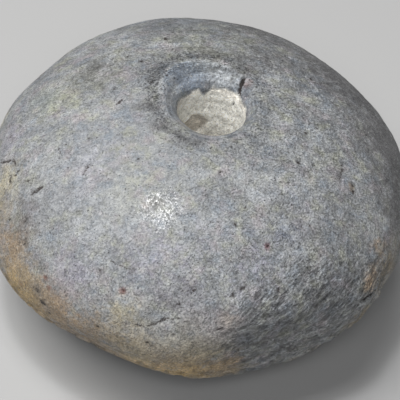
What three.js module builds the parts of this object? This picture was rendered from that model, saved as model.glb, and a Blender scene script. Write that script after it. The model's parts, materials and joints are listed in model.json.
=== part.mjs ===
// A spindle whorl: one rounded piece of grey stone, wider than it is high, with a hole bored
// through it for the spindle. Millimetres, +Z up. The origin is the middle of the stone, on the
// ground flat that it stands on.
import * as THREE from "three";

// Driving dimensions
const girthWidth = 42; // diameter of the widest ring
const girthHeight = 13; // height of the widest ring above the foot
const crownRise = 12.4; // from the widest ring to where the crown would close over the hole
const footWidth = 16; // diameter of the ground foot
const holeWidth = 6.5; // diameter of the spindle hole at its narrowest
const holeOffset = new THREE.Vector3(0.6, 0.2, 0); // the hole misses the middle by this much
const holeBelly = 0.25; // how far the hole's wall swells between its two narrow rings

// How far each mouth is worn open beyond the hole, and how deep the wear reaches
const upperWear = { across: 0.9, along: 1.65, depth: 0.85 };
const lowerWear = { across: 0.8, along: 1.1, depth: 0.9 };

// Broad flats left by the shaping. Each faces a way, in degrees, and lies at a share of the
// widest radius from the stone's middle.
const flats = [
  { azimuth: -111, lift: -35, share: 0.862 },
  { azimuth: -64.5, lift: -11, share: 0.912 },
  { azimuth: 48, lift: 37, share: 0.896 },
  { azimuth: 150, lift: 27, share: 0.926 },
  { azimuth: -18.5, lift: -11, share: 1.028 },
  { azimuth: 181, lift: 5, share: 0.982 },
];
const edgeSharpness = 26; // a higher power gives the flats crisper borders

// Shallow scars where flakes have come off. Depth is a share of the widest radius, and spread is
// the half-width of a scar in degrees, seen from the stone's middle.
const scars = [
  { azimuth: -27, lift: -4, depth: 0.014, spread: 6 },
  { azimuth: -48, lift: 5, depth: 0.011, spread: 9 },
  { azimuth: -66, lift: -35, depth: 0.012, spread: 9 },
  { azimuth: -96, lift: -14, depth: 0.008, spread: 8 },
  { azimuth: -119, lift: -9, depth: 0.01, spread: 8 },
  { azimuth: 100, lift: -20, depth: 0.016, spread: 11 },
  { azimuth: 160, lift: -32, depth: 0.014, spread: 9 },
];

// Fineness of the faceted surface
const around = 64;
const outerSteps = 30;
const footSteps = 2;
const wearSteps = 2;
const holeSteps = 8;

const girthRadius = girthWidth / 2;
const footRadius = footWidth / 2;
const holeRadius = holeWidth / 2;
const halvings = 48; // steps of each search by halving

// The underside's curve would reach this far below the widest ring if it weren't ground flat.
const baseDrop = girthHeight / Math.sqrt(1 - (footRadius / girthRadius) ** 2);

function facing(azimuth, lift) {
  const turn = THREE.MathUtils.degToRad(azimuth);
  const tip = THREE.MathUtils.degToRad(lift);
  return new THREE.Vector3(
    Math.cos(tip) * Math.cos(turn),
    Math.cos(tip) * Math.sin(turn),
    Math.sin(tip),
  );
}

for (const flat of flats) {
  flat.normal = facing(flat.azimuth, flat.lift);
  flat.reach = flat.share * girthRadius - flat.normal.dot(holeOffset);
}
for (const scar of scars) scar.middle = facing(scar.azimuth, scar.lift);

// All reaches are measured from the hole's axis at the height of the widest ring.
// The rounded body is two half ellipsoids, a crown and a deeper base, that meet at that ring.
function roundReach(way) {
  const rise = way.z > 0 ? crownRise : baseDrop;
  const level = new THREE.Vector3(way.x, way.y, 0);
  const a = level.lengthSq() / girthRadius ** 2 + (way.z / rise) ** 2;
  const b = level.dot(holeOffset) / girthRadius ** 2;
  const c = holeOffset.lengthSq() / girthRadius ** 2 - 1;
  return (-b + Math.sqrt(b * b - a * c)) / a;
}

function stoneReach(way) {
  let sum = roundReach(way) ** -edgeSharpness;
  for (const flat of flats) {
    const share = Math.max(0, way.dot(flat.normal)) / flat.reach;
    sum += share ** edgeSharpness;
  }
  let reach = sum ** (-1 / edgeSharpness);
  for (const scar of scars) {
    const away = THREE.MathUtils.radToDeg(way.angleTo(scar.middle)) / scar.spread;
    reach -= scar.depth * girthRadius * Math.exp(-away * away);
  }
  return reach;
}

// The lift, in degrees, at which a measure that grows with lift passes a value.
function liftWhere(measure, value, low, high) {
  for (let i = 0; i < halvings; i++) {
    const middle = (low + high) / 2;
    if (measure(middle) < value) low = middle;
    else high = middle;
  }
  return (low + high) / 2;
}

function mouthRadius(wear, azimuth) {
  const turn = THREE.MathUtils.degToRad(azimuth);
  const across = Math.cos(turn) / (holeRadius + wear.across);
  const along = Math.sin(turn) / (holeRadius + wear.along);
  return 1 / Math.hypot(across, along);
}

// The places where the outer surface ends on one azimuth: the upper mouth and the foot.
function outerEnds(azimuth) {
  const level = (lift) => {
    const way = facing(azimuth, lift);
    return Math.hypot(way.x, way.y) * stoneReach(way);
  };
  const height = (lift) => stoneReach(facing(azimuth, lift)) * Math.sin(THREE.MathUtils.degToRad(lift));
  const top = liftWhere((lift) => -level(lift), -mouthRadius(upperWear, azimuth), 0, 89);
  const bottom = liftWhere(height, -girthHeight, -89, 0);
  return { top, bottom };
}

function outerPoint(azimuth, lift) {
  const way = facing(azimuth, lift);
  return way.multiplyScalar(stoneReach(way)).add(new THREE.Vector3(0, 0, girthHeight));
}

function wallPoint(azimuth, radius, height) {
  return facing(azimuth, 0).multiplyScalar(radius).setZ(height);
}

// Each ring is a list of points around the hole. They run from the upper mouth over the outside
// to the foot, in along the foot, and up the hole's wall back to the upper mouth.
function stoneRings() {
  const rings = [];
  const azimuths = Array.from({ length: around }, (_, i) => (360 * i) / around);
  const ends = azimuths.map(outerEnds);
  const ring = (point) => rings.push(azimuths.map(point));

  for (let k = 0; k <= outerSteps; k++) {
    const part = k / outerSteps;
    ring((azimuth, i) => {
      const point = outerPoint(azimuth, THREE.MathUtils.lerp(ends[i].top, ends[i].bottom, part));
      return k === outerSteps ? point.setZ(0) : point;
    });
  }
  const lip = rings[0];
  const footEdge = rings[outerSteps];

  for (let k = 1; k <= footSteps; k++) {
    ring((azimuth, i) => {
      const inner = wallPoint(azimuth, mouthRadius(lowerWear, azimuth), 0);
      return footEdge[i].clone().lerp(inner, k / footSteps);
    });
  }

  const lowRing = lowerWear.depth;
  const highRing = Math.min(...lip.map((point) => point.z)) - upperWear.depth;
  for (let k = 1; k <= wearSteps; k++) {
    const part = k / wearSteps;
    ring((azimuth) => {
      const radius = THREE.MathUtils.lerp(mouthRadius(lowerWear, azimuth), holeRadius, part);
      return wallPoint(azimuth, radius, lowRing * part);
    });
  }
  for (let k = 1; k <= holeSteps; k++) {
    const part = k / holeSteps;
    const radius = holeRadius + holeBelly * Math.sin(Math.PI * part);
    ring((azimuth) => wallPoint(azimuth, radius, THREE.MathUtils.lerp(lowRing, highRing, part)));
  }
  for (let k = 1; k < wearSteps; k++) {
    ring((azimuth, i) => wallPoint(azimuth, holeRadius, highRing).lerp(lip[i], k / wearSteps));
  }
  return rings;
}

// Joins rings into one closed surface, the last ring to the first.
function closedSurface(rings) {
  const corner = (k, i) => (k % rings.length) * around + (i % around);
  const faces = [];
  for (let k = 0; k < rings.length; k++) {
    for (let i = 0; i < around; i++) {
      faces.push(corner(k, i), corner(k + 1, i), corner(k + 1, i + 1));
      faces.push(corner(k, i), corner(k + 1, i + 1), corner(k, i + 1));
    }
  }
  const geometry = new THREE.BufferGeometry().setFromPoints(rings.flat());
  geometry.setIndex(faces);
  geometry.computeVertexNormals();
  return geometry;
}

function whorl() {
  const stone = new THREE.MeshStandardMaterial({ color: 0x8e9196, roughness: 0.6, metalness: 0 });
  const mesh = new THREE.Mesh(closedSurface(stoneRings()), stone);
  mesh.name = "whorl";
  mesh.position.copy(holeOffset);
  return mesh;
}

const part = new THREE.Group();
part.add(whorl());

export default part;
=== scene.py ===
"""The looks of a stone spindle whorl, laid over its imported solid. Metres, +Z up.

Lengths on the stone are written in millimetres and turned to metres where the mesh is made.
A place on the outside is (azimuth, lift) in degrees, seen from the hole's axis at the height of
the stone's widest ring: azimuth 0 is +X, -90 faces the camera, and lift 90 is straight up.
"""

import json
import math

import bmesh
import bpy
import numpy as np
from mathutils import Matrix, Vector, noise
from mathutils.bvhtree import BVHTree


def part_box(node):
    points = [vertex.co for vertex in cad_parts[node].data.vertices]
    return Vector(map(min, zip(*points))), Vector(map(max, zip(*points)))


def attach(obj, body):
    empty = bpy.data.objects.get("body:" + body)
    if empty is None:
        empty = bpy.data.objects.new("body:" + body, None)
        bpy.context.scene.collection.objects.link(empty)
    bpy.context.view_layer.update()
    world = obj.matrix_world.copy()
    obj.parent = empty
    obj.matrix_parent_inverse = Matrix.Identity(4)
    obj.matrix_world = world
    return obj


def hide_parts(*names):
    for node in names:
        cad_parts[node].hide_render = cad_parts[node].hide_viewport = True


MM = 0.001  # one millimetre in metres
SEED = 11  # of the draw that scatters the small pits

# The mesh: columns go around the hole, and rows go around the stone's cross-section
COLUMNS = 448
ROWS = 216
FRONT = -90.0  # azimuth of the side with the narrowest columns
FRONT_BIAS = 0.3  # how much narrower columns are there than on average
FINE_STEP = 0.22  # row spacing on the crown, the sides and the top of the hole
COARSE_STEP = 0.7  # row spacing on the underside and low in the hole
CORE_SHARE = 0.57  # the rays start on a circle at this share of the stone's half-width
WIDEST_SHARE = 0.5154  # height of the widest ring as a share of the stone's height
SMOOTH_LEVELS = 3  # subdivisions that round the facets
SMOOTHING_LOSS = 0.04  # smoothing the facets draws the surface in by this much
WELD = 1e-6  # points closer than this are joined, in metres
AZIMUTH_SAMPLES = 4001  # how finely the azimuths are searched to place the columns
TURN_SAMPLES = 3001  # the same for the rows
FINE_ABOVE = (0.6, 0.15)  # rows are fine above these shares of the height, in the hole and outside
FINE_BLEND = 2.0  # and coarse from this far below that
TINY = 1e-6  # keeps a division from meeting zero

# Kinds of relief: (height, feature size, octaves, drift). The drift keeps two kinds from matching.
SWELLS = (0.06, 7.0, 2, 3.0)
LUMPS = (0.045, 2.2, 3, 17.0)
GRAIN = (0.035, 0.7, 2, 31.0)
HACKLES = (0.10, 0.75, 3, 40.0)
FLAKES = (0.06, 1.5, 3, 60.0)
CHIPS = (0.20, 1.1, 4, 90.0)
SOIL_LUMPS = (0.05, 0.7, 3, 50.0)
SOIL_EDGE = (0.22, 0.8, 2, 5.0)
SOIL_END = (1.2, 1.5, 3, 12.0)
HOLLOW_EDGE = (0.25, 0.9, 2, 9.0)
ROUGHER = (0.4, 3.0, 2, 77.0)  # how the lumps and grain vary over the stone
PIT_EDGE = (0.35, 0.5, 2, 23.0)  # makes pits and cracks ragged
FRACTAL = (1.0, 2.0)  # how fast octaves weaken, and how much finer each one is

# A stretch of s draws features out to 1 / (1 - s) times their length
CHIP_STRETCH = 0.6  # along the line of sight
HACKLE_STRETCH = 0.55  # along the hackles' own direction
HACKLE_LEAN = 38.0  # their slant in the camera's view, in degrees
HACKLE_SHARPNESS = 2.2  # how steeply the ridges fall away from their crests
FLAKE_EDGE = (-0.05, 0.12)  # where a flake begins and is full, in its noise
SPALL_DEPTH = 0.10  # how far the spalled side lies below the rest
ROUGH_SHARE = 0.8  # how much of the lumps and grain is there on average
POLISH_SMOOTHS = 0.7  # how much of them polish takes away
RUBBING_SMOOTHS = 0.4  # and how much the rubbing of the crown does
FOOT_EDGE = (0.05, 0.8)  # the foot is plain up to here, and the relief is full from here
# The blurred relief finds the dips that the painted shade darkens
CAVITY_PASSES = 6  # how often the relief is blurred, to find dips in it
CAVITY_FULL = 0.05  # a dip this far below what is around it counts as a full hollow

# Swellings and hollows of the outline: (azimuth, lift, height, spread in degrees)
SWELLINGS = [
    (-11, -8, 0.20, 6),
    (-25, -2, -0.08, 4),
    (-30, -6, 0.16, 4),
    (-42, -20, -0.10, 5),
    (-48, -26, 0.10, 5),
    (-60, -20, -0.08, 5),
    (-73, -20, -0.11, 5),
    (-90, -16, -0.07, 6),
    (-118, -10, -0.12, 6),
    (-137, -8, -0.10, 5),
    (112, 22, 0.12, 8),
    (80, 25, -0.08, 8),
    (-94, 14, -0.10, 3),
    (-27.5, -3.8, 0.30, 1.6),
    (-26, 1.5, -0.42, 3.0),
    (150, 8, -0.12, 6),
    (-168, -6, -0.14, 7),
    (62, 2, -0.13, 7),
    (102, -8, 0.10, 7),
    (20, -14, -0.12, 7),
    (-109, 39, -0.10, 2),
]

# The chipped belt along the widest ring: middle azimuth and lift, half-width of each in degrees
CHIPPED = (-88.0, -17.0, 80.0, 11.0)
CHIPPED_FADE = 20.0  # how many degrees its ends take to fade out
CHIP_EDGE = (-0.05, 0.25)  # where a chip begins and is full, in its noise

# The spalled, hackly side: (azimuth, lift, spread)
SPALLED = [
    (-75, 0, 9),
    (-58, -6, 15),
    (-46, 6, 13),
    (-33, 6, 9),
    (-68, 12, 9),
    (-54, 16, 8),
    (-40, -22, 14),
]

# Pits: (azimuth, lift, radius, depth)
PITS = [
    (119, 44, 0.32, 0.20),
    (113, 40, 0.21, 0.12),
    (146, 65, 0.20, 0.16),
    (162, 62, 0.18, 0.10),
    (162, 67, 0.15, 0.10),
    (-169, 64, 0.17, 0.10),
    (-166, 42, 0.13, 0.08),
    (-156, 41, 0.14, 0.08),
    (-158, 34, 0.18, 0.10),
    (-31, 47.2, 0.27, 0.18),
    (3, 52, 0.15, 0.08),
    (-65, 29, 0.20, 0.14),
    (-108, 15, 0.18, 0.14),
    (-107, 21, 0.20, 0.08),
    (-98.8, 3.1, 0.24, 0.16),
    (-97.5, 2.3, 0.22, 0.14),
    (-21.8, 28.8, 0.28, 0.18),
    (-19.9, 29.9, 0.24, 0.16),
    (-86, 26, 0.20, 0.10),
    (-75, 36, 0.20, 0.10),
    (-70, 41, 0.18, 0.10),
    (-47, 30, 0.18, 0.12),
    (-144, 15, 0.20, 0.14),
    (-140, 11, 0.20, 0.14),
    (-116, 17, 0.40, 0.06),
    (-89, 19, 0.55, 0.06),
    (-131, 3, 0.42, 0.10),
    (-129, 0, 0.42, 0.11),
    (-127, -3, 0.34, 0.09),
    (-112, 3, 0.22, 0.12),
    (-97, -6, 0.20, 0.12),
    (-138, -3, 0.18, 0.12),
]
SMALL_PITS = 170
SMALL_PIT_RADIUS = (0.12, 0.26)
SMALL_PIT_DEPTH = (0.03, 0.12)
SMALL_PIT_HEIGHTS = (-0.75, 0.93)  # the sines of their lowest and highest lift
# The painted shade in pits: how deep a pit is for full shade, and how dark that is
FULL_SHADE_PIT_DEPTH = 0.12  # a pit this deep looks as dark as pits get
PIT_SHADE = 0.9  # how dark that is

# Cracks and creases: (points that they run through, half-width, depth)
CRACKS = [
    ([(3.2, 4.2, 25.0), (3.0, 3.4, 24.6), (2.9, 2.5, 24.0)], 0.20, 0.55),
    ([(2.65, 2.75, 23.0), (2.55, 2.85, 22.5)], 0.12, 0.14),
    ([(-15.1, -9.2, 19.7), (-14.6, -9.1, 20.0), (-14.1, -8.9, 20.5)], 0.16, 0.14),
    ([(-18.7, -4.0, 17.9), (-17.4, -4.8, 19.2), (-17.0, -5.5, 19.4)], 0.14, 0.14),
    ([(-17.5, -6.2, 18.7), (-17.2, -7.1, 18.6)], 0.15, 0.12),
    ([(-17.0, -6.6, 19.1), (-16.7, -6.2, 19.5)], 0.15, 0.14),
    ([(-15.9, -7.7, 19.7), (-15.3, -7.8, 20.1)], 0.12, 0.08),
    ([(-12.9, -5.7, 22.2), (-12.8, -6.5, 22.0)], 0.12, 0.08),
    ([(-10.4, -8.6, 22.5), (-9.9, -7.5, 23.0)], 0.12, 0.08),
    ([(-8.4, -0.9, 24.3), (-7.9, -0.3, 24.5)], 0.18, 0.10),
    ([(13.3, -3.2, 22.4), (13.2, -5.2, 22.1)], 0.12, 0.08),
    ([(5.5, -17.0, 19.4), (5.1, -17.2, 19.2)], 0.18, 0.16),
    ([(4.5, -17.8, 19.0), (4.4, -17.9, 18.9)], 0.20, 0.14),
    ([(-0.6, -19.1, 18.1), (0.0, -18.9, 18.3)], 0.12, 0.08),
    ([(-1.8, -19.8, 16.8), (-1.1, -19.8, 17.0)], 0.14, 0.10),
    ([(3.6, -19.6, 16.1), (4.0, -19.5, 16.2)], 0.18, 0.12),
    ([(-6.7, -16.2, 19.8), (-5.6, -16.6, 19.8), (-4.6, -17.0, 19.8)], 0.13, 0.02),
    ([(-5.0, -19.8, 15.7), (-4.0, -20.0, 15.8), (-2.8, -20.1, 16.0)], 0.15, 0.03),
    ([(-2.8, -20.1, 16.0), (-1.9, -20.0, 16.5), (-1.1, -19.8, 17.0)], 0.15, 0.04),
    ([(-1.1, -19.8, 17.0), (0.0, -19.7, 17.1), (0.9, -19.8, 17.0)], 0.14, 0.02),
    ([(16.8, -12.0, 13.8), (17.6, -11.0, 13.5), (18.3, -9.8, 13.0)], 0.24, 0.32),
    ([(-14.0, 13.6, 14.6), (-12.6, 14.9, 14.2), (-11.9, 15.3, 14.6)], 0.14, 0.12),
    ([(8.0, 17.9, 15.5), (9.3, 17.3, 15.0)], 0.14, 0.12),
    ([(19.3, 3.0, 15.2), (19.6, 1.6, 14.6), (19.7, 0.9, 14.8)], 0.13, 0.12),
    ([(-1.7, 2.3, 19.9), (-0.9, 2.9, 20.1), (-0.2, 3.3, 19.9)], 0.10, 0.12),
]
CRACK_EDGE = (0.55, 1.2)  # a crack fades out between these shares of its half-width
# The painted shade in cracks grows with their depth
CRACK_SHADE = (0.4, 2.0)  # how dark a shallow crack looks, and what a millimetre adds

# Colours, linear
COLOURS = {
    "rust": (0.36, 0.262, 0.165),
    "ochre": (0.34, 0.28, 0.19),
    "umber": (0.235, 0.188, 0.13),
    "gold": (0.48, 0.335, 0.14),
    "cream": (0.46, 0.42, 0.30),
    "lichen": (0.36, 0.37, 0.28),
    "lavender": (0.31, 0.30, 0.37),
    "red": (0.16, 0.05, 0.045),
    "pink": (0.50, 0.38, 0.37),
    "soil": (1.0, 0.99, 0.935),
    "tan": (0.42, 0.32, 0.23),
    "slate": (0.17, 0.20, 0.245),
    # pale grey: pale stone, and in two patches a painted highlight
    "pale": (0.40, 0.42, 0.44),
    # dark grey: dark spots of the stone, and painted shade where the light falls off
    "dark_tone_and_painted_shade": (0.13, 0.13, 0.135),
}

# Patches of colour on the outside: (azimuth, lift, spread, colour, strength)
PATCHES = [
    (-158, 10, 6, "cream", 0.5),
    (-160, 16, 4, "cream", 0.6),
    (-166, 2, 9, "cream", 0.5),
    (-152, 4, 8, "tan", 0.3),
    (-143, 7, 6, "rust", 0.6),
    (-139, -8, 7, "gold", 1.5),
    (-134, -4, 6, "gold", 1.0),
    (-135, 3, 6, "ochre", 0.5),
    (-126, 1, 7, "rust", 0.8),
    (-138, -20, 9, "umber", 1.1),
    (-128, -13, 8, "rust", 0.8),
    (-122, -24, 9, "umber", 1.0),
    (-114, -1, 8, "rust", 0.55),
    (-110, -22, 9, "umber", 0.65),
    (-113, -12, 8, "rust", 0.6),
    (-102, -3, 8, "cream", 0.45),
    (-100, -14, 8, "gold", 0.7),
    (-92, -4, 7, "rust", 0.75),
    (-104, 2, 6, "ochre", 0.6),
    (-131, 3, 2.2, "dark_tone_and_painted_shade", 1.6),
    (-128, -1, 2.0, "dark_tone_and_painted_shade", 1.6),
    (-93, 15, 1.8, "dark_tone_and_painted_shade", 0.55),
    (-107, 20.3, 1.4, "dark_tone_and_painted_shade", 0.5),
    (-82, 8, 6, "lavender", 0.6),
    (-74, 3, 3, "slate", 0.6),
    (-123, 13, 6, "lavender", 0.6),
    (-94, 5, 7, "pale", 0.35),
    (-86, 2, 8, "cream", 0.75),
    (-88, -12, 8, "gold", 1.0),
    (-80, -9, 6, "rust", 0.7),
    (-78, -20, 8, "umber", 0.7),
    (-106, 10, 4, "cream", 0.6),
    (-129.5, 8, 0.7, "red", 1.2),
    (-127.5, 6.5, 0.6, "red", 1.2),
    (-137, 0, 0.7, "red", 1.2),
    (-133, -9, 0.8, "red", 1.0),
    (-96, -8, 0.7, "red", 0.9),
    (-79, 11, 3, "ochre", 0.5),
    (-27, 13, 3.5, "tan", 0.45),
    (-34, 7.5, 3.5, "tan", 0.85),
    # Painted light and shade: these five dark and pale patches stand in for broad hollows and rises
    # on the spalled side
    (-52, 11, 3.5, "dark_tone_and_painted_shade", 0.4),
    (-44, 3, 3.5, "pale", 0.4),
    (-60, -8, 5, "dark_tone_and_painted_shade", 0.4),
    (-50, -16, 5, "pale", 0.4),
    (-70, 0, 4, "dark_tone_and_painted_shade", 0.35),
    (-72, -18, 5, "ochre", 0.35),
    (-140, 22, 5, "pale", 0.3),
    (-147, 18, 12, "dark_tone_and_painted_shade", 0.35),
    (-24, 4, 6, "ochre", 0.6),
    (-116, 24, 4, "dark_tone_and_painted_shade", 0.3),
    (-36, -8, 6, "ochre", 0.6),
    (-20, -8, 10, "ochre", 0.5),
    (-50, -24, 9, "ochre", 0.4),
    (152, 48, 12, "lichen", 0.12),
    (177, 33, 10, "lichen", 0.35),
    (100, 50, 14, "lichen", 0.25),
    (-120, 42, 10, "lichen", 0.3),
    (-140, 40, 12, "lavender", 0.2),
    (-100, 26, 14, "lavender", 0.25),
    (-70, 24, 12, "lavender", 0.25),
    (-40, 40, 12, "lavender", 0.15),
    # Painted shade: the broad dark patches from here down to the one at azimuth -10, and the one at
    # azimuth 65 below, darken the right and far side where the light falls off
    (42, 22, 18, "dark_tone_and_painted_shade", 1.0),
    (12, 18, 15, "dark_tone_and_painted_shade", 1.0),
    (78, 24, 15, "dark_tone_and_painted_shade", 0.8),
    (25, -8, 16, "dark_tone_and_painted_shade", 0.5),
    (-10, 13, 9, "dark_tone_and_painted_shade", 0.8),
    (108, 28, 14, "slate", 0.3),
    (-94, 17, 6, "dark_tone_and_painted_shade", 0.4),
    (65, -5, 16, "dark_tone_and_painted_shade", 0.45),
    (-145, 15, 2.5, "dark_tone_and_painted_shade", 0.45),
    (-141, 12, 2.5, "dark_tone_and_painted_shade", 0.45),
    (-109, 39, 1.6, "dark_tone_and_painted_shade", 0.5),
    (-112, 37, 1.2, "pink", 0.3),
    # Painted highlight: these two pale patches stand in for a streak of light glancing off the crown
    (-58, 42, 3.5, "pale", 0.5),
    (-66, 45, 2.0, "pale", 0.4),
    (-150, 36, 9, "pale", 0.3),
    (-124, 28, 9, "pale", 0.3),
    (175, 27, 4, "slate", 0.5),
    (175, 52, 4, "slate", 0.4),
    (-65, 29, 1.0, "red", 0.8),
    (-108, 15, 0.8, "red", 0.9),
    (-21, 30, 1.2, "rust", 0.5),
    (48, 69, 2.2, "pink", 0.6),
    (100, 57, 5, "dark_tone_and_painted_shade", 0.7),
    (75, 57, 5, "dark_tone_and_painted_shade", 0.5),
    (-140, 64, 4.5, "dark_tone_and_painted_shade", 0.6),
    (-119, 64, 4.5, "dark_tone_and_painted_shade", 0.5),
    (-97, 65, 3.5, "dark_tone_and_painted_shade", 0.3),
    (-165, 62, 4.5, "dark_tone_and_painted_shade", 0.6),
    (-128, -24, 8, "dark_tone_and_painted_shade", 0.5),
    (-57, 32, 4.0, "slate", 0.45),
    (120, 32, 14, "dark_tone_and_painted_shade", 0.3),
    (162, 40, 8, "dark_tone_and_painted_shade", 0.65),
    (60, 52, 10, "dark_tone_and_painted_shade", 0.55),
    (-48, 30, 5, "dark_tone_and_painted_shade", 0.4),
    (150, -12, 14, "rust", 0.5),
    (60, -16, 16, "ochre", 0.5),
    (-175, -14, 12, "rust", 0.5),
    (20, -25, 12, "ochre", 0.4),
    (100, 8, 10, "cream", 0.4),
    (135, 14, 7, "lichen", 0.5),
    (170, 4, 8, "cream", 0.45),
    (-172, 18, 7, "lavender", 0.4),
    (82, -4, 8, "rust", 0.45),
    (48, -6, 8, "lichen", 0.4),
    (118, -16, 9, "umber", 0.5),
]

# Inside the hole, by height above the foot
SOIL_LINE = 23.95  # soil covers the wall below this
SOIL_DIPS = [(107, 9, 1.05), (87, 10, 0.25), (138, 14, 0.4), (-90, 70, 0.5)]  # azimuth, spread, drop
SOIL_FADE = 0.16  # how far above and below its line it fades
SOIL_BOTTOM = (4.0, 6.0)  # heights between which the soil ends
SOIL_THICKNESS = 0.08
SOIL_STAIN = (95, 17.3, 30, 1.0, 0.3)  # azimuth, height, half-widths of both, strength
BROWN_TOP = (22.9, 23.6)  # the soil turns browner from here to here
TOP_BROWN = 0.25  # and ends as brown as this
HOLLOW = (118.0, 19.1)  # azimuth and height of the brown hollow
HOLLOW_REACH = (22.0, 1.35)  # its half-width in degrees and half-height
HOLLOW_FADE = (0.75, 1.1)  # it fades out between these shares of them
HOLLOW_DEPTH = 0.18  # millimetres, like all depths and widths here
HOLLOW_BROWN = 0.5  # how brown it is
HOLE_EDGE = 4.3  # the hole's mask fades out at this radius
HOLE_FADE = 0.6  # and is full this far inside it

# The mouth, by radius from the hole's axis
MOUTH_ACROSS = 4.15  # the solid's mouth towards its sides, and then towards front and back
MOUTH_ALONG = 4.9
WAIST = 3.25  # the hole's narrowest ring
LIP = [  # azimuth and radius of the worn lip
    (20, 4.2),
    (63, 4.95),
    (93, 5.7),
    (127, 6.3),
    (155, 5.5),
    (180, 4.6),
    (225, 4.6),
    (272, 5.1),
    (315, 4.5),
]
LEAST_WEAR = 0.05  # the lip lies at least this far outside the solid's mouth
# The painted highlight along the lip: its width, the azimuth in the middle of its bright stretch, and
# how it fades
LIP_HIGHLIGHT_WIDTH = 0.11
LIP_HIGHLIGHT_SIDE = 85  # the azimuth in the middle of its bright stretch
LIP_HIGHLIGHT_FADE = (30, 55)  # the stretch fades out this many degrees to each side
LIP_SLOPE = 0.28  # how deep the worn mouth lies for each millimetre that it reaches further
MOUTH_RING = (0.8, 1.0)  # the dark ring's distance from the lip, and its width
RING_SIDE = 150  # the azimuth at which it is darkest
RING_MEAN = 0.72  # how dark it is on average
FUNNEL_RIM = (0.1, 0.2)  # the funnel fades out this far inside and outside the lip
WEAR_DEPTHS = (3.0, 2.0)  # how far below the top the wear begins, and where it is full
RING_DEPTHS = (3.0, 1.5)  # the same for the dark ring
FUNNEL_DEPTHS = (3.0, 2.2)  # and for the funnel and its lip
FUNNEL_PATCHES = [  # azimuth, spread, strength all round, strength added there, colour
    (130, 24, 0.25, 0.6, "slate"),
    (84, 17, 0.0, 0.7, "pale"),
]

# Smooth places: azimuth, lift, spread
RUBBED = (-132, 48, 40)  # the rubbed side of the crown
GLOSSY = [(-106, 38, 8), (-58, 41, 5)]  # places that shine

# Noises of the material: (step, scale for each mm, detail, roughness, distortion)
NOISES = {
    "cloud": ((0, 0, 0), 0.2, 5.0, 0.6, 0.0),
    "hue": ((31, 7, 19), 0.7, 3.0, 0.55, 0.0),
    "blush": ((9, 41, 2), 0.55, 3.0, 0.55, 0.0),
    "ragged": ((0, 0, 0), 1.3, 5.0, 0.7, 0.0),
    "broad": ((4, 22, 13), 0.5, 3.0, 0.6, 0.0),
    "mottle": ((0, 0, 0), 0.8, 6.0, 0.7, 0.5),
    "blotches": ((15, 2, 27), 0.45, 4.0, 0.6, 0.0),
    "flecks": ((3, 9, 4), 6.0, 2.0, 0.8, 0.0),
    "broken": ((8, 3, 1), 1.3, 3.0, 0.6, 0.0),
    "specks": ((12, 1, 6), 3.2, 4.0, 0.8, 0.0),
    "pepper": ((7, 13, 5), 5.5, 2.0, 0.6, 0.0),
    "grit": ((5, 3, 8), 3.8, 3.0, 0.7, 0.0),
    "nicks": ((0, 0, 0), 4.5, 2.0, 0.7, 0.0),
    "flaking": ((0, 0, 0), 3.4, 3.0, 0.75, 0.0),
    "turning": ((0, 0, 0), 1.0, 3.0, 0.7, 0.0),
    "dullness": ((0, 0, 0), 1.7, 4.0, 0.7, 0.0),
    "relief": ((3, 9, 4), 2.0, 6.0, 0.78, 0.0),
}
GRAIN_STRETCH = 0.2  # along the hackles' direction, like the next two
FLAKING_STRETCH = 0.6
NICK_STRETCH = 0.7
NICK_STEP = (6, 6, 1)  # so that the nicks don't match the other noises
RING_SCALE = 3.6  # turned rings for each millimetre from the axis
RING_WANDER = 0.28  # how far they wander as they go round

# Thin lines: (scale, half-width in the noise, detail, distortion)
DARK_STROKES = (1.5, 0.03, 4.0, 0.8)
PALE_STROKES = (1.9, 0.03, 4.0, 0.8)
PALE_STROKE_STEP = (2, 6, 11)
CURLS = (1.5, 0.03, 3.0, 1.5)
LINE_ROUGHNESS = 0.65

# The bare stone drifts between two colours, with clouds of three more over it:
# (noise, where the cloud begins, where it is full, strength, colour)
DARK_STONE = (0.215, 0.226, 0.24, 1)
PALE_STONE = (0.315, 0.326, 0.334, 1)
DRIFT = (0.36, 0.64)  # of the cloud noise, from dark to pale
CLOUDS = [
    ("hue", 0.52, 0.68, 0.5, (0.33, 0.335, 0.25, 1)),
    ("hue", 0.46, 0.32, 0.52, (0.20, 0.24, 0.29, 1)),
    ("blush", 0.53, 0.68, 0.5, (0.32, 0.275, 0.295, 1)),
]

# How the patches' borders break up, by their strength and two noises
PATCH_SHARE = 0.95
RAGGED_BY = 0.8
BROAD_BY = 0.6
PATCH_EDGE = (0.12, 0.72)  # a patch begins and is full at these sums
PATCH_FADE = (0.02, 0.25)  # and fades out where it is this weak

# How noises and masks turn into shade or marks: (from, to, result at from, result at to)
MOTTLE = (0.34, 0.66, 0.78, 1.22)
BLOTCHES = (0.36, 0.64, 0.80, 1.20)
FLECKS = (0.3, 0.7, 0.34, 1.66)
BROKEN = (0.54, 0.64, 0.0, 1.0)
PALE_SPECKS = (0.60, 0.70, 0.0, 0.6)
WARM_SPECKS = (0.53, 0.62, 0.0, 0.3)
TURNED = (0.35, 0.65, 0.30, -0.28)
# the painted highlight on the lip
LIP_HIGHLIGHT = (0.40, 0.55, 0.0, 0.6)
# painted shade in the relief's dips, and painted light on its rises
PAINTED_CAVITY_SHADE = (-1, 1, 1.22, 0.70)
# painted light and shade along the spalled side's splits, following their bump
SPLIT_LIGHT_AND_SHADE = (0.36, 0.64, -0.46, 0.42)
NICKS = (0.44, 0.33, 0.0, 0.9)
# painted shade in pits and cracks
PIT_AND_CRACK_SHADE = (0.35, 0.5, 0.0, 0.88)
ROUGHNESS = (0.35, 0.65, 0.44, 0.68)
CURL_CORE = (0.1, 0.5, 0.0, 1.0)
CURL_FLATNESS = (0, 0.4, 1.0, 0.24)
RUBBED_FLATNESS = (0, 1, 0.94, 0.6)

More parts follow.
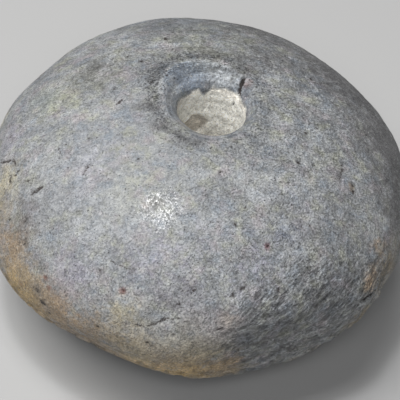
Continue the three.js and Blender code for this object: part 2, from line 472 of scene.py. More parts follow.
# Specks begin below this value of their noise, and at a higher one on the mouth's ring
SPECK_START = 0.385
SPECK_FULL = 0.30
SPECK_ON_RING = 0.14
DOT_START = 0.37
DOT_EDGE = 0.05
DOT_ON_RING = 0.10
DOT_STRENGTH = 0.8

# How much is left of a layer on soil, on the rubbed crown or on the spalled side
MOTTLE_ON_SOIL = 0.15
MOTTLE_ON_RUBBED = 0.45
FLECKS_ON_RUBBED = 0.38
STROKES_ON_RUBBED = 0.5
PALE_SPECKS_ON_SPALLED = 0.4
SHADE_ON_SPALLED = 0.92
SHADE_ON_RING = 0.70
# painted shade: the stone is darkened where it shines, to offset the lamps' sheen there
PAINTED_SHADE_ON_GLOSS = 0.86
POLISH_QUIETS = 0.2  # how much of the marks polish hides
SOIL_QUIETS = 0.45  # and how much the soil does
STROKE_SHADE = 0.4  # how bright the stone stays on a dark stroke
PALE_STROKE_STRENGTH = 0.3
RING_TURNING = 0.9  # how strong the turned rings are outside the mouth
GRIT_ON_MARKS = 1.6  # how ragged grit makes the dark marks

# Colours of the marks, linear
SPECK_COLOUR = (0.05, 0.052, 0.058, 1)
DOT_COLOUR = (0.03, 0.03, 0.033, 1)
PALE_SPECK_COLOUR = (0.60, 0.60, 0.57, 1)
PALE_STROKE_COLOUR = (0.50, 0.50, 0.49, 1)
WARM_COLOUR = (0.55, 0.46, 0.32, 1)
# the painted highlight on the lip
LIP_HIGHLIGHT_COLOUR = (0.50, 0.52, 0.54, 1)
NICK_COLOUR = (0.035, 0.036, 0.04, 1)
# painted shade in pits and cracks
PIT_AND_CRACK_SHADE_COLOUR = (0.028, 0.020, 0.018, 1)

# Gloss and fine relief
GLOSS_DULLS = 0.12  # the stone between the shining curls is rougher by this much
CURL_ROUGHNESS = (0.12, 0.12, 0.12, 1)
SOIL_ROUGHNESS = (0.9, 0.9, 0.9, 1)
COAT_ROUGHNESS = 0.1
BUMP_HEIGHT = 0.24  # how high the finest relief looks
STROKE_GROOVE = 0.25  # how deep the dark strokes look beside it
SPLIT_RISE = 2.4  # how high the splits of the spalled side look beside it

# Lights: (name, where from in the camera's right, up and back, size, power, colour)
LIGHT_DISTANCE = 0.6  # metres, like the lights' sizes and the floor
LIGHTS = [
    ("key", (-0.45, 0.60, 0.66), 0.30, 2.4, (1.0, 0.99, 0.97)),
    ("flash", (-0.08, 0.62, 0.78), 0.18, 1.65, (1.0, 1.0, 1.0)),
    ("glint", (-0.08, 0.62, 0.78), 0.05, 0.8, (1.0, 1.0, 1.0)),
    ("front", (0.0, 0.05, 1.0), 0.20, 1.45, (1.0, 1.0, 1.0)),
]
SKY_COLOUR = (0.9, 0.93, 1.0, 1)
SKY_STRENGTH = 0.02
FLOOR_HALF = 2.0
FLOOR_COLOUR = (0.38, 0.38, 0.38, 1)
FLOOR_ROUGHNESS = 0.9

# The camera: where it stands, from the fit to the photograph's outline. Degrees and metres
IMAGE_SIDE = 400
VIEW_LIFT = 47.0
VIEW_ROLL = 6.98
VIEW_DISTANCE = 0.2
PIXELS_PER_MM = 10.219
STONE_MIDDLE_PX = (195.9, 191.1)  # where the photograph shows the middle of the widest ring
SENSOR = 36.0  # millimetres
CLIP_NEAR = 0.01
CLIP_FAR = 10

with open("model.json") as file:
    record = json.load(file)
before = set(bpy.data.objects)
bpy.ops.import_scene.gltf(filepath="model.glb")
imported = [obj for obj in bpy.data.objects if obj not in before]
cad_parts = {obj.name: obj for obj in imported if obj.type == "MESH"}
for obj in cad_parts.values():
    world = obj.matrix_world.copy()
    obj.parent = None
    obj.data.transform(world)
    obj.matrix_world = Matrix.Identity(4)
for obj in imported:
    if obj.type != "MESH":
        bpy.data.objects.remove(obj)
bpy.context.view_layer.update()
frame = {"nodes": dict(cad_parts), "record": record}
low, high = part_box("whorl")
opening_low, opening_high = frame["record"]["physics"]["openings"][0]["box_m"]
hole_x = (opening_low[0] + opening_high[0]) / 2 / MM
hole_y = (opening_low[1] + opening_high[1]) / 2 / MM
half_width = (high.x - low.x) / 2 / MM
height = high.z / MM
widest_z = height * WIDEST_SHARE


def ease(value, start, end):
    """0 at start and 1 at end, smooth between them."""
    part = np.clip((value - start) / (end - start), 0, 1)
    return part * part * (3 - 2 * part)


def way(azimuth, lift):
    """The direction of a place on the outside."""
    turn, tip = math.radians(azimuth), math.radians(lift)
    return np.array([math.cos(tip) * math.cos(turn), math.cos(tip) * math.sin(turn), math.sin(tip)])


def view_axes():
    """The camera's right, up and back directions."""
    lift, roll = math.radians(VIEW_LIFT), math.radians(VIEW_ROLL)
    back = np.array([0, -math.cos(lift), math.sin(lift)])
    level = np.array([1.0, 0, 0])
    steep = np.cross(back, level)
    right = level * math.cos(roll) + steep * math.sin(roll)
    up = steep * math.cos(roll) - level * math.sin(roll)
    return right, up, back


def hackle_way():
    """The direction in which the hackles and the grain run."""
    right, up, _ = view_axes()
    lean = math.radians(HACKLE_LEAN)
    return right * math.cos(lean) + up * math.sin(lean)


def smooth_tree():
    """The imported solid's surface with its facets smoothed, ready for rays."""
    form = bmesh.new()
    form.from_mesh(frame["nodes"]["whorl"].data)
    bmesh.ops.remove_doubles(form, verts=form.verts, dist=WELD)
    bmesh.ops.join_triangles(
        form, faces=form.faces, angle_face_threshold=math.pi, angle_shape_threshold=math.pi
    )
    mesh = bpy.data.meshes.new("form")
    form.to_mesh(mesh)
    form.free()
    helper = bpy.data.objects.new("form", mesh)
    bpy.context.scene.collection.objects.link(helper)
    rounding = helper.modifiers.new("rounding", "SUBSURF")
    rounding.levels = SMOOTH_LEVELS
    tree = BVHTree.FromObject(helper, bpy.context.evaluated_depsgraph_get())
    bpy.data.objects.remove(helper)
    bpy.data.meshes.remove(mesh)
    return tree


def cast(tree, azimuth, turn):
    """The surface point that a ray meets from the core circle. Turn 0 points outwards, 90 up."""
    out = Vector((math.cos(azimuth), math.sin(azimuth), 0))
    core = Vector((hole_x, hole_y, height / 2)) + out * (half_width * CORE_SHARE)
    ray = out * math.cos(turn) + Vector((0, 0, math.sin(turn)))
    hit = tree.ray_cast(core * MM, ray)[0]
    return hit / MM


def column_azimuths():
    """The azimuths of the columns, which are narrowest at the front."""
    fine = np.linspace(0, 2 * math.pi, AZIMUTH_SAMPLES)
    density = 1 + FRONT_BIAS * np.cos(fine - math.radians(FRONT))
    total = np.concatenate([[0], np.cumsum((density[1:] + density[:-1]) / 2)])
    return np.interp(np.arange(COLUMNS) / COLUMNS * total[-1], total, fine)


def row_turns(tree):
    """The turns of the rows, which are finest where the stone shows."""
    fine = np.linspace(0, 2 * math.pi, TURN_SAMPLES)
    points = np.array([cast(tree, math.radians(FRONT), t) for t in fine])
    steps = np.linalg.norm(np.diff(points, axis=0), axis=1)
    middle_z = (points[1:, 2] + points[:-1, 2]) / 2
    radius = np.hypot(points[1:, 0] - hole_x, points[1:, 1] - hole_y)
    fine_from = height * np.where(radius < HOLE_EDGE, *FINE_ABOVE)
    fineness = ease(middle_z, fine_from - FINE_BLEND, fine_from)
    spacing = COARSE_STEP + (FINE_STEP - COARSE_STEP) * fineness
    total = np.concatenate([[0], np.cumsum(steps / spacing)])
    return np.interp(np.arange(ROWS) / ROWS * total[-1], total, fine)


def surface_points():
    """The smooth surface's points, by row and column."""
    tree = smooth_tree()
    azimuths = column_azimuths()
    turns = row_turns(tree)
    return np.array([[cast(tree, a, t) for a in azimuths] for t in turns])


def normals_of(points):
    """The surface's normals, each from its point's neighbours."""
    around = np.roll(points, -1, axis=1) - np.roll(points, 1, axis=1)
    across = np.roll(points, -1, axis=0) - np.roll(points, 1, axis=0)
    normal = np.cross(around, across)
    return normal / np.linalg.norm(normal, axis=2, keepdims=True)


def noise_field(points, kind):
    """Smooth noise of about -1 to 1, with the features of one kind of relief."""
    _, size, octaves, drift = kind
    flat = (points.reshape(-1, 3) / size + drift).tolist()
    values = [noise.fractal(p, *FRACTAL, octaves) for p in flat]
    return np.array(values).reshape(points.shape[:-1])


def relief_of(points, kind):
    """The same noise, at its height in millimetres."""
    return kind[0] * noise_field(points, kind)


def drawn_out(points, along, share):
    """The same points, with features drawn out along one direction."""
    return points - share * (points @ along)[..., None] * along


def hump(away):
    """1 in the middle, and falling off smoothly."""
    return np.exp(-(away**2))


def near(directions, azimuth, lift, spread):
    """1 at a place on the outside, and falling off over a spread in degrees."""
    angle = np.degrees(np.arccos(np.clip(directions @ way(azimuth, lift), -1, 1)))
    return hump(angle / spread)


def segment_distance(points, start, end):
    """How far each point is from a line between two."""
    start, end = np.array(start), np.array(end)
    along = end - start
    part = np.clip((points - start) @ along / (along @ along), 0, 1)
    return np.linalg.norm(points - start - part[..., None] * along, axis=-1)


def softened(field, passes):
    """The field blurred with its neighbours along rows and columns."""
    for _ in range(passes):
        field = (np.roll(field, 1, 0) + np.roll(field, -1, 0) + 2 * field) / 4
        field = (np.roll(field, 1, 1) + np.roll(field, -1, 1) + 2 * field) / 4
    return field


class Ground:
    """The smooth surface, and where each of its points lies."""

    def __init__(self):
        self.points = surface_points()
        self.normals = normals_of(self.points)
        from_hole = self.points - np.array([hole_x, hole_y, widest_z])
        self.reach = np.linalg.norm(from_hole, axis=2)
        self.ways = from_hole / self.reach[..., None]
        self.radius = np.hypot(from_hole[..., 0], from_hole[..., 1])
        self.azimuth = np.degrees(np.arctan2(from_hole[..., 1], from_hole[..., 0]))
        self.z = self.points[..., 2]
        self.in_hole = 1 - ease(self.radius, HOLE_EDGE - HOLE_FADE, HOLE_EDGE)
        self.outside = 1 - self.in_hole

    def azimuth_from(self, azimuth):
        return np.abs((self.azimuth - azimuth + 180) % 360 - 180)

    def below_top(self, depths):
        """0 below the first depth under the top, and 1 above the second."""
        return ease(self.z, height - depths[0], height - depths[1])


def spalled_mask(ground):
    """How far each point is spalled."""
    left = np.ones_like(ground.z)
    for azimuth, lift, spread in SPALLED:
        left *= 1 - near(ground.ways, azimuth, lift, spread)
    return (1 - left) * ground.outside


def soil_mask(ground):
    """How far soil covers the hole's wall, and the brown hollow in it."""
    line = SOIL_LINE + relief_of(ground.points, SOIL_EDGE)
    for azimuth, spread, drop in SOIL_DIPS:
        line = line - drop * hump(ground.azimuth_from(azimuth) / spread)
    soil = ground.in_hole * (1 - ease(ground.z, line - SOIL_FADE, line + SOIL_FADE))
    soil *= ease(ground.z + relief_of(ground.points, SOIL_END), *SOIL_BOTTOM)
    across = ground.azimuth_from(HOLLOW[0]) / HOLLOW_REACH[0]
    along = (ground.z - HOLLOW[1]) / HOLLOW_REACH[1]
    away = np.hypot(across, along) + relief_of(ground.points, HOLLOW_EDGE)
    return soil, ground.in_hole * (1 - ease(away, *HOLLOW_FADE))


def chips(ground):
    """Small flakes missing from the edge that the stone shows below."""
    azimuth, lift, half_around, half_up = CHIPPED
    above = np.degrees(np.arcsin(ground.ways[..., 2])) - lift
    beyond = ease(ground.azimuth_from(azimuth), half_around - CHIPPED_FADE, half_around)
    belt = hump(above / half_up) * (1 - beyond)
    drawn = drawn_out(ground.points, view_axes()[2], CHIP_STRETCH)
    gone = ease(noise_field(drawn, CHIPS), *CHIP_EDGE)
    return CHIPS[0] * gone * belt * ground.outside


def hackles(ground):
    """Short ridges that all run one way, and thin flakes between them."""
    drawn = drawn_out(ground.points, hackle_way(), HACKLE_STRETCH)
    ridges = 1 - HACKLE_SHARPNESS * np.abs(noise_field(drawn, HACKLES))
    flakes = ease(noise_field(drawn, FLAKES), *FLAKE_EDGE)
    return HACKLES[0] * ridges + FLAKES[0] * flakes


def pit_list():
    """The named pits, and the small ones that a seeded draw scatters."""
    rng = np.random.default_rng(SEED)
    pits = list(PITS)
    for _ in range(SMALL_PITS):
        azimuth = rng.uniform(-180, 180)
        lift = math.degrees(math.asin(rng.uniform(*SMALL_PIT_HEIGHTS)))
        radius = rng.uniform(*SMALL_PIT_RADIUS)
        pits.append((azimuth, lift, radius, rng.uniform(*SMALL_PIT_DEPTH)))
    return pits


def pitted(ground, ragged):
    """The depth of the pits, and the painted shade in them, darker the deeper they are."""
    depth = np.zeros_like(ground.z)
    dark = np.zeros_like(ground.z)
    for azimuth, lift, radius, deep in pit_list():
        arc = np.arccos(np.clip(ground.ways @ way(azimuth, lift), -1, 1)) * ground.reach
        bowl = hump(arc / radius * (1 + ragged)) * ground.outside
        depth = np.maximum(depth, bowl * deep)
        dark = np.maximum(dark, bowl**2 * min(1, deep / FULL_SHADE_PIT_DEPTH))
    return depth, dark


def cracked(ground, ragged):
    """The depth of the cracks, and the painted shade in them, darker the deeper they are."""
    depth = np.zeros_like(ground.z)
    dark = np.zeros_like(ground.z)
    least, added = CRACK_SHADE
    for points, half_gap, deep in CRACKS:
        for start, end in zip(points, points[1:]):
            away = segment_distance(ground.points, start, end) / half_gap * (1 + ragged)
            gap = 1 - ease(away, *CRACK_EDGE)
            depth = np.maximum(depth, gap * deep)
            dark = np.maximum(dark, gap * min(1, least + added * deep))
    return depth, dark


def worn_mouth(ground):
    """Where the mouth's lip runs, and how far the surface sinks inside it."""
    places, radii = zip(*LIP)
    lip = np.interp(ground.azimuth % 360, places, radii, period=360)
    turn = np.radians(ground.azimuth)
    solid_lip = 1 / np.hypot(np.cos(turn) / MOUTH_ACROSS, np.sin(turn) / MOUTH_ALONG)
    wider = np.maximum(lip - solid_lip, LEAST_WEAR)
    outer = (lip - ground.radius) / wider
    inner = (ground.radius - WAIST) / (solid_lip - WAIST)
    sunk = LIP_SLOPE * wider * np.clip(np.minimum(outer, inner), 0, 1)
    return lip, sunk * ground.below_top(WEAR_DEPTHS)


def mouth_masks(ground, lip_radius, soil):
    """The dark ring around the mouth, a painted highlight along its lip, and the funnel inside the
    lip.
    """
    beyond = ground.radius - lip_radius
    ring = hump((beyond - MOUTH_RING[0]) / MOUTH_RING[1])
    ring *= RING_MEAN + (1 - RING_MEAN) * np.cos(np.radians(ground.azimuth - RING_SIDE))
    ring *= ground.below_top(RING_DEPTHS) * ground.outside
    high_up = ground.below_top(FUNNEL_DEPTHS)
    # a painted highlight along the far side of the lip
    lip = hump(beyond / LIP_HIGHLIGHT_WIDTH) * high_up
    lip *= 1 - ease(ground.azimuth_from(LIP_HIGHLIGHT_SIDE), *LIP_HIGHLIGHT_FADE)
    funnel = (1 - ease(beyond, -FUNNEL_RIM[0], FUNNEL_RIM[1])) * high_up * (1 - soil)
    return ring, lip, funnel


def relief_and_masks(ground):
    """How far each point moves along its normal, and the masks that the material reads."""
    spalled = spalled_mask(ground)
    soil, hollow = soil_mask(ground)
    polish = ground.in_hole * (1 - soil)
    rubbed = near(ground.ways, *RUBBED)
    gloss = np.max([near(ground.ways, *place) for place in GLOSSY], axis=0)
    lip_radius, worn = worn_mouth(ground)

    relief = SMOOTHING_LOSS - worn + relief_of(ground.points, SWELLS)
    for azimuth, lift, rise, spread in SWELLINGS:
        relief += rise * near(ground.ways, azimuth, lift, spread) * ground.outside
    fine = relief_of(ground.points, LUMPS) + relief_of(ground.points, GRAIN)
    smoothed = np.maximum(POLISH_SMOOTHS * np.maximum(polish, gloss), RUBBING_SMOOTHS * rubbed)
    relief += fine * (1 - smoothed) * (ROUGH_SHARE + relief_of(ground.points, ROUGHER))
    relief += spalled * (hackles(ground) - SPALL_DEPTH)
    relief -= chips(ground)
    ragged = relief_of(ground.points, PIT_EDGE)
    pit_depth, pit_dark = pitted(ground, ragged)
    crack_depth, crack_dark = cracked(ground, ragged)
    relief -= pit_depth + crack_depth
    relief += soil * (SOIL_THICKNESS + relief_of(ground.points, SOIL_LUMPS))
    relief -= hollow * HOLLOW_DEPTH
    relief *= ease(ground.z, *FOOT_EDGE)

    ring, lip, funnel = mouth_masks(ground, lip_radius, soil)
    hollowness = softened(relief, CAVITY_PASSES) - relief
    masks = {
        "polish": polish,
        "spalled": spalled,
        # dark: the painted shade in pits and cracks
        "dark": np.clip(np.maximum(pit_dark * PIT_SHADE, crack_dark), 0, 1),
        # cavity: where the painted shade darkens the dips and lightens the rises
        "cavity": np.clip(hollowness / CAVITY_FULL, -1, 1),
        "mouth_ring": ring,
        "soil": soil,
        "funnel": funnel,
        # lip: the painted highlight along the lip
        "lip": lip,
        "gloss": gloss,
        "rubbed": rubbed,
    }
    return relief, masks, patch_colours(ground, soil, hollow, funnel)


def patch_weights(ground, soil, funnel):
    """How strongly each patch of colour lies on each point."""
    weights = []
    for azimuth, lift, spread, colour, strength in PATCHES:
        weights.append((near(ground.ways, azimuth, lift, spread) * strength * ground.outside, colour))
    weights.append((soil, "soil"))
    for azimuth, spread, all_round, added, colour in FUNNEL_PATCHES:
        share = all_round + added * hump(ground.azimuth_from(azimuth) / spread)
        weights.append((funnel * share, colour))
    azimuth, middle_z, half_around, half_up, strength = SOIL_STAIN
    stain = hump((ground.z - middle_z) / half_up) * hump(ground.azimuth_from(azimuth) / half_around)
    weights.append((stain * ground.in_hole * strength, "tan"))
    return weights


def patch_colours(ground, soil, hollow, funnel):
    """The colour of the patches at each point, with their strength as its fourth value."""
    total = np.zeros_like(ground.z)
    left = np.ones_like(ground.z)
    mixed = np.zeros(ground.points.shape)
    for weight, colour in patch_weights(ground, soil, funnel):
        total += weight
        left *= 1 - np.clip(weight, 0, 1)
        mixed += weight[..., None] * np.array(COLOURS[colour])
    mixed /= np.maximum(total, TINY)[..., None]
    top_soil = soil * ease(ground.z, *BROWN_TOP)
    brown = np.maximum(hollow * HOLLOW_BROWN, top_soil * TOP_BROWN)[..., None]
    mixed = mixed * (1 - brown) + np.array(COLOURS["tan"]) * brown
    return np.concatenate([mixed, (1 - left)[..., None]], axis=2)


def stone_mesh():
    """The stone's mesh, with masks and patch colours for the material."""
    ground = Ground()
    relief, masks, patches = relief_and_masks(ground)
    points = ground.points + ground.normals * relief[..., None]
    points[..., 2] = np.maximum(points[..., 2], 0)

    numbers = np.arange(ROWS * COLUMNS).reshape(ROWS, COLUMNS)
    up = np.roll(numbers, -1, axis=0)
    beside = np.roll(numbers, -1, axis=1)
    both = np.roll(up, -1, axis=1)
    faces = np.stack([numbers, beside, both, up], axis=2).reshape(-1, 4)

    mesh = bpy.data.meshes.new("whorl_stone")
    mesh.from_pydata((points.reshape(-1, 3) * MM).tolist(), [], faces.tolist())
    mesh.shade_smooth()
    for name, mask in masks.items():
        layer = mesh.attributes.new(name, "FLOAT", "POINT")
        layer.data.foreach_set("value", mask.ravel().astype(np.float32))
    layer = mesh.attributes.new("patch", "FLOAT_COLOR", "POINT")
    layer.data.foreach_set("color", patches.ravel().astype(np.float32))
    return mesh


class Nodes:
    """Short calls for building a material's nodes."""

    def __init__(self, name):
        self.material = bpy.data.materials.new(name)
        self.material.use_nodes = True
        self.tree = self.material.node_tree
        self.shader = self.tree.nodes["Principled BSDF"]
        self.fields = {}

    def add(self, kind, inputs=None, **settings):
        node = self.tree.nodes.new(kind)
        for key, value in settings.items():
            setattr(node, key, value)
        for key, value in (inputs or {}).items():
            self.put(value, node.inputs[key])
        return node

    def put(self, value, socket):
        if isinstance(value, bpy.types.NodeSocket):
            self.tree.links.new(value, socket)
        else:
            socket.default_value = value

    def mask(self, name):
        return self.add("ShaderNodeAttribute", attribute_name=name).outputs["Fac"]

    def vector(self, operation, inputs):
        return self.add("ShaderNodeVectorMath", inputs, operation=operation)

    def noise(self, place, scale, detail, roughness, lean):
        inputs = {"Vector": place, "Scale": scale, "Detail": detail, "Roughness": roughness}
        inputs["Distortion"] = lean
        return self.add("ShaderNodeTexNoise", inputs).outputs["Fac"]

    def field(self, name, place):
        """One of the named noises, made once and then read again."""
        if name not in self.fields:
            step, *settings = NOISES[name]
            self.fields[name] = self.noise(self.moved(place, step), *settings)
        return self.fields[name]

    def moved(self, place, step):
        """The same coordinates moved, so that two noises don't match."""
        return self.vector("ADD", {0: place, 1: step}).outputs[0]

    def stretched(self, place, along, share):
        """The same coordinates, with features drawn out along one direction."""
        dot = self.vector("DOT_PRODUCT", {0: place, 1: along})
        step = {0: [share * part for part in along], "Scale": dot.outputs["Value"]}
        cut = self.vector("SCALE", step).outputs[0]
        return self.vector("SUBTRACT", {0: place, 1: cut}).outputs[0]

    def span(self, value, start, end, at_start=0.0, at_end=1.0):
        """A value carried from one range to another, and held at its ends."""
        inputs = {"Value": value, "From Min": start, "From Max": end}
        inputs.update({"To Min": at_start, "To Max": at_end})
        return self.add("ShaderNodeMapRange", inputs).outputs["Result"]

    def less_on(self, mask, left=0.0):
        """1 away from a mask, and only what is left on it."""
        return self.span(mask, 0, 1, 1.0, left)

    def math(self, operation, first, second=0.0):
        node = self.add("ShaderNodeMath", operation=operation)
        self.put(first, node.inputs[0])
        self.put(second, node.inputs[1])
        return node.outputs["Value"]

    def times(self, first, second):
        return self.math("MULTIPLY", first, second)

    def plus(self, first, second):
        return self.math("ADD", first, second)

    def mix(self, part, first, second, blend="MIX"):
        node = self.add("ShaderNodeMix", data_type="RGBA", blend_type=blend)
        self.put(part, node.inputs["Factor"])
        self.put(first, node.inputs["A"])
        self.put(second, node.inputs["B"])
        return node.outputs["Result"]

    def grey(self, value):
        node = self.add("ShaderNodeCombineColor")
        for socket in ("Red", "Green", "Blue"):
            self.put(value, node.inputs[socket])
        return node.outputs["Color"]


def thin_lines(n, place, kind):
    """Thin winding lines, 1 on a line and 0 away from it."""
    scale, width, detail, lean = kind
    field = n.noise(place, scale, detail, LINE_ROUGHNESS, lean)
    return n.span(n.math("ABSOLUTE", n.math("SUBTRACT", field, 0.5)), 0.0, width, 1.0, 0.0)


class StoneLook:
    """The stone's colour, roughness and bump, from the masks and noises that they share."""

    def __init__(self, n):
        self.n = n
        spot = n.add("ShaderNodeTexCoord").outputs["Object"]
        self.place = n.vector("SCALE", {0: spot, "Scale": 1 / MM}).outputs[0]
        self.drawn = n.stretched(self.place, hackle_way(), GRAIN_STRETCH)
        self.soil = n.mask("soil")
        self.ring = n.mask("mouth_ring")
        self.funnel = n.mask("funnel")
        self.spalled = n.mask("spalled")
        self.rubbed = n.mask("rubbed")
        self.gloss = n.mask("gloss")
        self.grit = n.field("grit", self.place)
        self.flaking = n.field("flaking", n.stretched(self.place, hackle_way(), FLAKING_STRETCH))
        self.turning = self.turned_rings()
        self.lines = thin_lines(n, self.drawn, DARK_STROKES)
        self.curls = n.times(thin_lines(n, self.place, CURLS), self.gloss)
        by_polish = n.times(n.mask("polish"), POLISH_QUIETS)
        quiet = n.math("MAXIMUM", by_polish, n.times(self.soil, SOIL_QUIETS))
        self.loud = n.math("SUBTRACT", 1.0, quiet)
        self.layered = DARK_STONE

    def turned_rings(self):
        """Rings around the hole, left by the drill and the spindle."""
        n = self.n
        centred = n.moved(self.place, (-hole_x, -hole_y, 0))
        level = n.vector("MULTIPLY", {0: centred, 1: (1, 1, 0)}).outputs[0]
        from_axis = n.vector("LENGTH", {0: level}).outputs["Value"]
        line = n.add("ShaderNodeCombineXYZ", {"X": n.times(from_axis, RING_SCALE)}).outputs[0]
        wander = n.vector("SCALE", {0: self.place, "Scale": RING_WANDER}).outputs[0]
        return n.field("turning", n.vector("ADD", {0: line, 1: wander}).outputs[0])

    def tint(self, part, colour):
        """Lays a colour over part of the stone."""
        self.layered = self.n.mix(part, self.layered, colour)

    def shade(self, part, value):
        """Multiplies the colour by a value on part of the stone."""
        n = self.n
        self.tint(part, n.mix(1.0, self.layered, n.grey(value), "MULTIPLY"))

    def clouds(self):
        n = self.n
        self.tint(n.span(n.field("cloud", self.place), *DRIFT), PALE_STONE)
        for name, start, full, strength, colour in CLOUDS:
            self.tint(n.span(n.field(name, self.place), start, full, 0, strength), colour)

    def patches(self):
        n = self.n
        patch = n.add("ShaderNodeAttribute", attribute_name="patch")
        cover = patch.outputs["Alpha"]
        ragged = n.span(n.field("ragged", self.place), 0, 1, -RAGGED_BY, RAGGED_BY)
        broad = n.span(n.field("broad", self.place), 0, 1, -BROAD_BY, BROAD_BY)
        solid = n.plus(n.times(cover, PATCH_SHARE), n.plus(ragged, broad))
        strength = n.times(n.span(solid, *PATCH_EDGE), n.span(cover, *PATCH_FADE))
        self.tint(n.math("MAXIMUM", strength, self.soil), patch.outputs["Color"])

    def mottling(self):
        n = self.n
        on_soil = n.less_on(self.soil, MOTTLE_ON_SOIL)
        even = n.times(on_soil, n.less_on(self.rubbed, MOTTLE_ON_RUBBED))
        self.shade(even, n.span(n.field("mottle", self.drawn), *MOTTLE))
        rough = n.times(n.less_on(self.rubbed), n.less_on(self.soil))
        self.shade(rough, n.span(n.field("blotches", self.place), *BLOTCHES))
        # painted shade where the stone shines, offsetting the lamps' sheen
        self.shade(self.gloss, PAINTED_SHADE_ON_GLOSS)
        fleck = n.times(self.loud, n.less_on(self.rubbed, FLECKS_ON_RUBBED))
        self.shade(fleck, n.span(n.field("flecks", self.drawn), *FLECKS))

    def strokes(self):
        n = self.n
        dark = n.times(self.lines, n.span(n.field("broken", self.place), *BROKEN))
        dark = n.times(dark, n.less_on(self.rubbed, STROKES_ON_RUBBED))
        self.shade(n.times(dark, self.loud), STROKE_SHADE)
        pale = thin_lines(n, n.moved(self.drawn, PALE_STROKE_STEP), PALE_STROKES)
        self.tint(n.times(n.times(pale, PALE_STROKE_STRENGTH), self.loud), PALE_STROKE_COLOUR)

    def specks(self):
        n = self.n
        start = n.plus(SPECK_START, n.times(self.ring, SPECK_ON_RING))
        dark = n.span(n.field("specks", self.drawn), start, SPECK_FULL)
        self.tint(n.times(dark, self.loud), SPECK_COLOUR)
        start = n.plus(DOT_START, n.times(self.ring, DOT_ON_RING))
        full = n.math("SUBTRACT", start, DOT_EDGE)
        dots = n.span(n.field("pepper", self.place), start, full, 0, DOT_STRENGTH)
        self.tint(n.times(dots, self.loud), DOT_COLOUR)
        bare = n.times(n.less_on(self.soil), n.less_on(self.spalled, PALE_SPECKS_ON_SPALLED))
        self.tint(n.times(n.span(self.grit, *PALE_SPECKS), bare), PALE_SPECK_COLOUR)
        self.tint(n.times(self.soil, n.span(self.grit, *WARM_SPECKS)), WARM_COLOUR)

    def mouth(self):
        n = self.n
        around = n.math("MAXIMUM", self.funnel, n.times(self.ring, RING_TURNING))
        turned = n.times(around, n.span(self.turning, *TURNED))
        self.shade(1.0, n.math("SUBTRACT", 1.0, turned))
        # a painted highlight along the far side of the lip
        self.tint(n.times(n.mask("lip"), n.span(self.grit, *LIP_HIGHLIGHT)), LIP_HIGHLIGHT_COLOUR)

    # Painted shade in the relief's dips and painted light on its rises, and painted light and shade
    # along the spalled side's splits; the spalled side and the mouth's ring are made darker too
    def hollows(self):
        n = self.n
        shade = n.span(n.mask("cavity"), *PAINTED_CAVITY_SHADE)
        shade = n.times(shade, n.less_on(self.spalled, SHADE_ON_SPALLED))
        split_light_and_shade = n.times(self.spalled, n.span(self.flaking, *SPLIT_LIGHT_AND_SHADE))
        shade = n.times(shade, n.plus(1.0, split_light_and_shade))
        self.shade(1.0, n.times(shade, n.less_on(self.ring, SHADE_ON_RING)))

    # Dark nicks on the spalled side, and painted shade in the pits and cracks
    def nicks_and_pit_shade(self):
        n = self.n
        drawn = n.stretched(n.moved(self.place, NICK_STEP), hackle_way(), NICK_STRETCH)
        nicks = n.times(n.span(n.field("nicks", drawn), *NICKS), self.spalled)
        self.tint(nicks, NICK_COLOUR)
        frayed = n.times(n.math("SUBTRACT", self.grit, 0.5), GRIT_ON_MARKS)
        frayed = n.plus(n.mask("dark"), frayed)
        self.tint(n.span(frayed, *PIT_AND_CRACK_SHADE), PIT_AND_CRACK_SHADE_COLOUR)

    def colour(self):
        """The colour in layers, each over the ones before it."""
        self.clouds()
        self.patches()
        self.mottling()
        self.strokes()
        self.specks()
        self.mouth()
        self.hollows()
        self.nicks_and_pit_shade()
        return self.layered

    def roughness(self):
        n = self.n
        roughness = n.span(n.field("dullness", self.place), *ROUGHNESS)
        roughness = n.plus(roughness, n.times(self.gloss, GLOSS_DULLS))
        roughness = n.mix(n.span(self.curls, *CURL_CORE), n.grey(roughness), CURL_ROUGHNESS)
        return n.mix(self.soil, roughness, SOIL_ROUGHNESS)

    def bump(self):
        n = self.n
        groove = n.times(self.lines, STROKE_GROOVE)
        rise = n.math("SUBTRACT", n.field("relief", self.drawn), groove)
        rise = n.plus(rise, n.times(self.funnel, self.turning))
        rise = n.plus(rise, n.times(self.spalled, n.times(self.flaking, SPLIT_RISE)))
        by_curls = n.span(self.curls, *CURL_FLATNESS)
        strength = n.times(by_curls, n.span(self.rubbed, *RUBBED_FLATNESS))
        inputs = {"Height": rise, "Strength": strength, "Distance": BUMP_HEIGHT * MM}
        return n.add("ShaderNodeBump", inputs).outputs["Normal"]


def stone_material():
    n = Nodes("blue_grey_stone")
    look = StoneLook(n)
    n.put(look.colour(), n.shader.inputs["Base Color"])
    n.put(look.roughness(), n.shader.inputs["Roughness"])
    n.put(look.bump(), n.shader.inputs["Normal"])
    n.put(look.curls, n.shader.inputs["Coat Weight"])
    n.shader.inputs["Coat Roughness"].default_value = COAT_ROUGHNESS
    return n.material


def stone():
    mesh = stone_mesh()
    mesh.materials.append(stone_material())
    piece = bpy.data.objects.new("whorl_stone", mesh)
    bpy.context.scene.collection.objects.link(piece)
    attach(piece, "root")
    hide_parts("whorl")


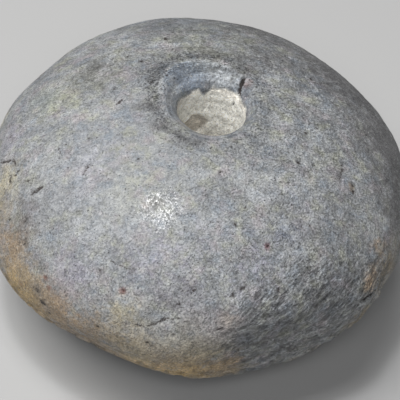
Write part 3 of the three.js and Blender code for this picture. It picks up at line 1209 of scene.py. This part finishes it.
def camera():
    right, up, back = view_axes()
    middle = np.array([0, 0, widest_z * MM])
    off_right = (STONE_MIDDLE_PX[0] - IMAGE_SIDE / 2) / PIXELS_PER_MM * MM
    off_up = (IMAGE_SIDE / 2 - STONE_MIDDLE_PX[1]) / PIXELS_PER_MM * MM
    eye = middle + back * VIEW_DISTANCE - right * off_right - up * off_up
    data = bpy.data.cameras.new("camera")
    data.sensor_width = SENSOR
    data.lens = PIXELS_PER_MM * (VIEW_DISTANCE / MM) / IMAGE_SIDE * SENSOR
    data.clip_start = CLIP_NEAR
    data.clip_end = CLIP_FAR
    holder = bpy.data.objects.new("camera", data)
    turn = Matrix((right, up, back)).transposed().to_4x4()
    holder.matrix_world = Matrix.Translation(Vector(eye)) @ turn
    bpy.context.scene.collection.objects.link(holder)
    bpy.context.scene.camera = holder


def area_light(name, toward, size, power, colour):
    """A square light that shines on the stone from a direction in the camera's own axes."""
    right, up, back = view_axes()
    line = Vector(right * toward[0] + up * toward[1] + back * toward[2]).normalized()
    data = bpy.data.lights.new(name, "AREA")
    data.size = size
    data.energy = power
    data.color = colour
    lamp = bpy.data.objects.new(name, data)
    lamp.location = line * LIGHT_DISTANCE + Vector((0, 0, widest_z * MM))
    lamp.rotation_euler = line.to_track_quat("Z", "Y").to_euler()
    lamp.visible_camera = False
    bpy.context.scene.collection.objects.link(lamp)


def lights():
    for light in LIGHTS:
        area_light(*light)
    world = bpy.data.worlds.new("room")
    world.use_nodes = True
    background = world.node_tree.nodes["Background"]
    background.inputs["Color"].default_value = SKY_COLOUR
    background.inputs["Strength"].default_value = SKY_STRENGTH
    bpy.context.scene.world = world
    bpy.context.scene.view_settings.view_transform = "Standard"


def floor():
    half = FLOOR_HALF
    corners = [(-half, -half, 0), (half, -half, 0), (half, half, 0), (-half, half, 0)]
    mesh = bpy.data.meshes.new("floor")
    mesh.from_pydata(corners, [], [(0, 1, 2, 3)])
    n = Nodes("pale_floor")
    n.shader.inputs["Base Color"].default_value = FLOOR_COLOUR
    n.shader.inputs["Roughness"].default_value = FLOOR_ROUGHNESS
    mesh.materials.append(n.material)
    ground = bpy.data.objects.new("floor", mesh)
    bpy.context.scene.collection.objects.link(ground)


camera()
stone()
floor()
lights()
